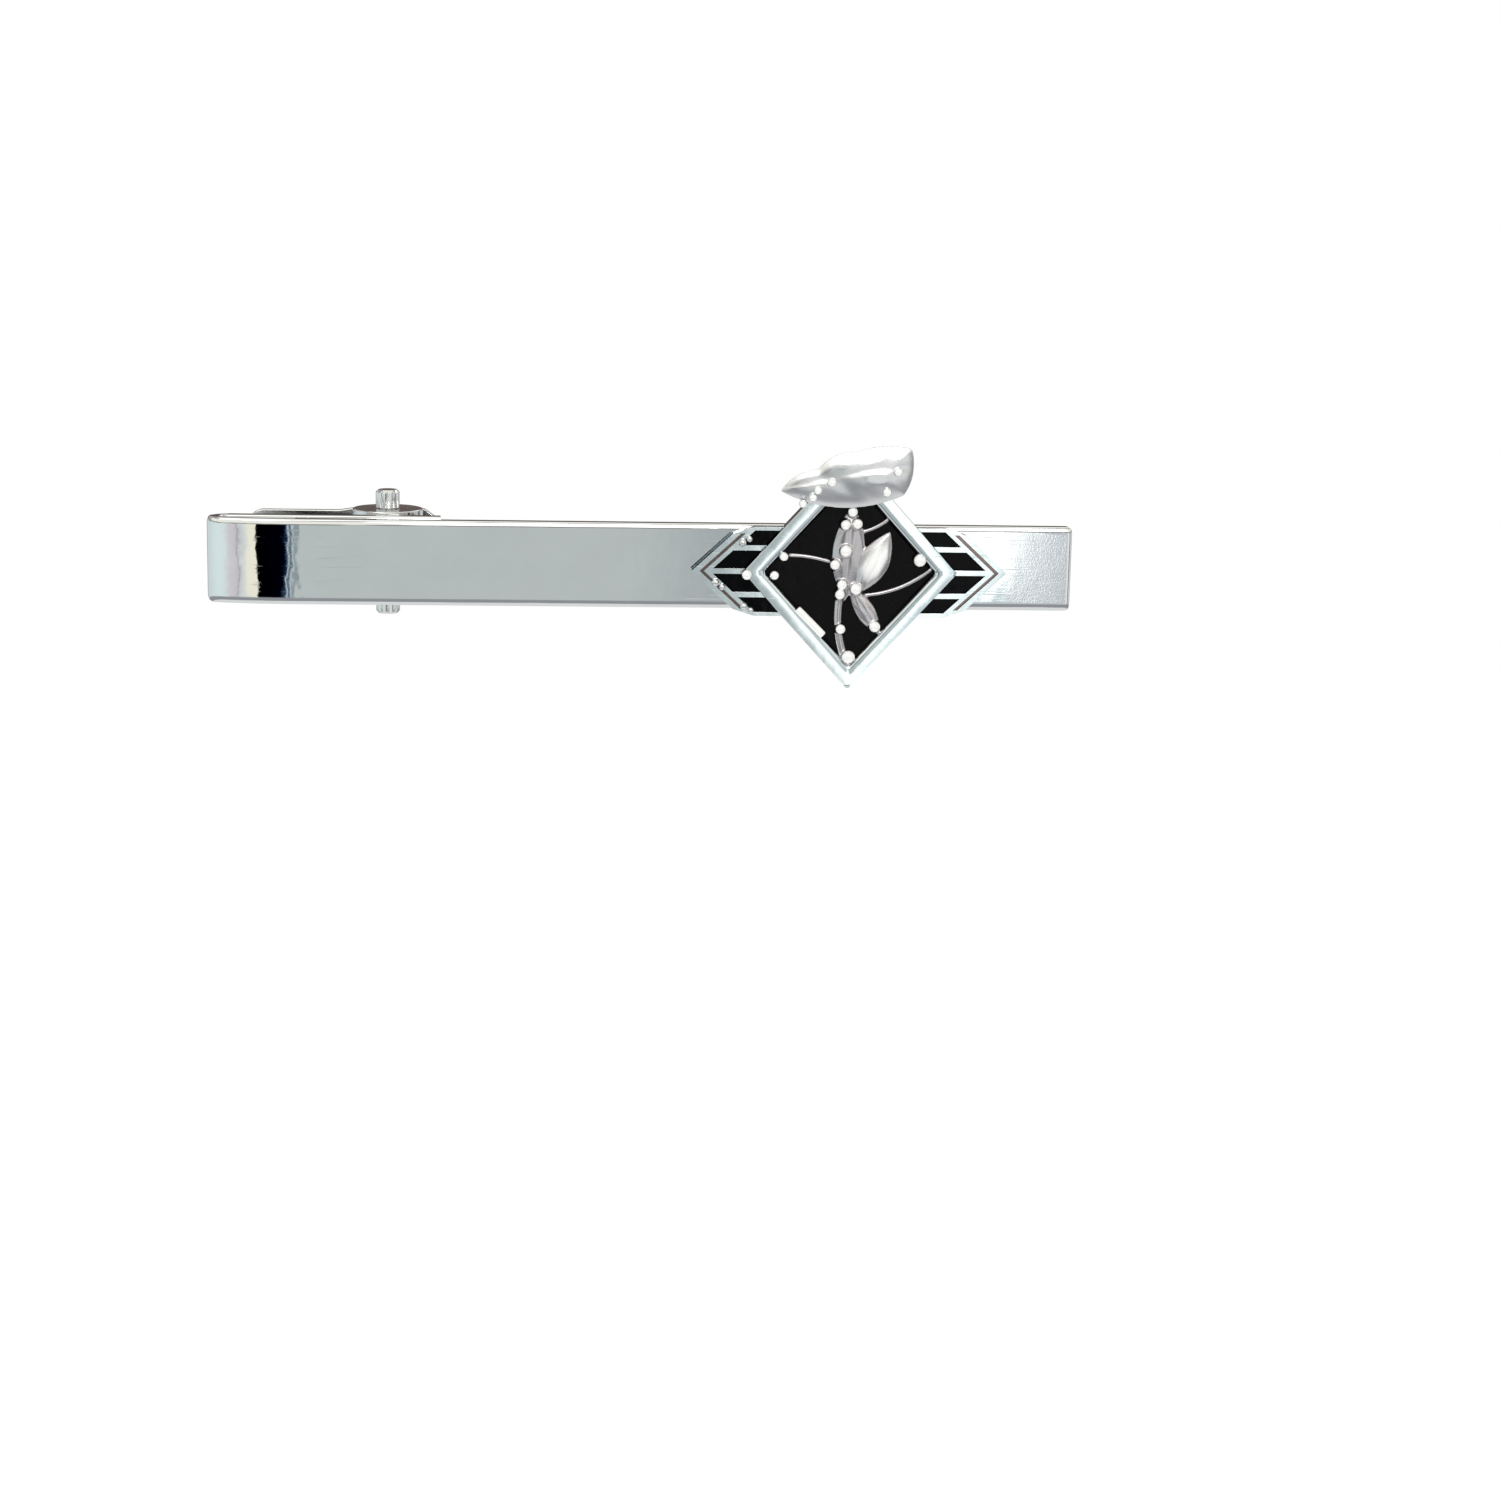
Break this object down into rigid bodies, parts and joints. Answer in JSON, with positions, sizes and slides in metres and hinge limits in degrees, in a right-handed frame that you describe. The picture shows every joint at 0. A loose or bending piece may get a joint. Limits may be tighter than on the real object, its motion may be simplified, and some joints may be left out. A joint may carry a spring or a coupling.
{
  "type": "tie bar",
  "caption": "Plated tie bar: a folded strip with a sprung toothed lever on the back and a diamond emblem filled with black enamel on the front.",
  "frame": {"origin": "middle of the bar's flat back face, which is the face the tie is held against", "axes": "+X along the bar from the folded end to the open end, +Z across the bar and up as worn, -Y towards the viewer of the emblem"},
  "size_m": [0.057, 0.0101, 0.0162],
  "materials": {
    "bar_plate": "mirror-polished bright plate with fine handling scratches",
    "emblem_plate": "bright plate over struck metal, polished on the high surfaces",
    "fitting_plate": "bright plate over stamped sheet, softer polish than the bar",
    "spring_steel": "bright drawn wire",
    "solder": "dull grey solder",
    "enamel": "glossy black hard enamel"
  },
  "bodies": {
    "bar": {"bracket_solder": "solder", "crest_leaf": "emblem_plate", "diamond_frame": "emblem_plate", "emblem_plate": "emblem_plate", "emblem_solder": "solder", "fan_enamel_left_1": "enamel", "fan_enamel_left_2": "enamel", "fan_enamel_left_3": "enamel", "fan_enamel_left_4": "enamel", "fan_enamel_right_1": "enamel", "fan_enamel_right_2": "enamel", "fan_enamel_right_3": "enamel", "fan_enamel_right_4": "enamel", "field_enamel_1": "enamel", "field_enamel_2": "enamel", "field_enamel_3": "enamel", "field_enamel_4": "enamel", "field_enamel_5": "enamel", "field_enamel_6": "enamel", "front_bar": "bar_plate", "hinge_bracket": "fitting_plate", "hinge_pin": "fitting_plate", "sprig_relief": "emblem_plate", "torsion_spring": "spring_steel"},
    "lever": {"clamp_lever": "fitting_plate"}
  },
  "joints": [
    {"name": "lever_hinge", "type": "hinge", "parent": "bar", "child": "lever", "pos_m": [-0.0169, 0.00469, 0], "axis": [0, 0, 1], "range_deg": [0, 25], "stiffness_Nm_per_rad": 0.015, "springref_deg": -68.75, "deforming": ["torsion_spring"]}
  ]
}
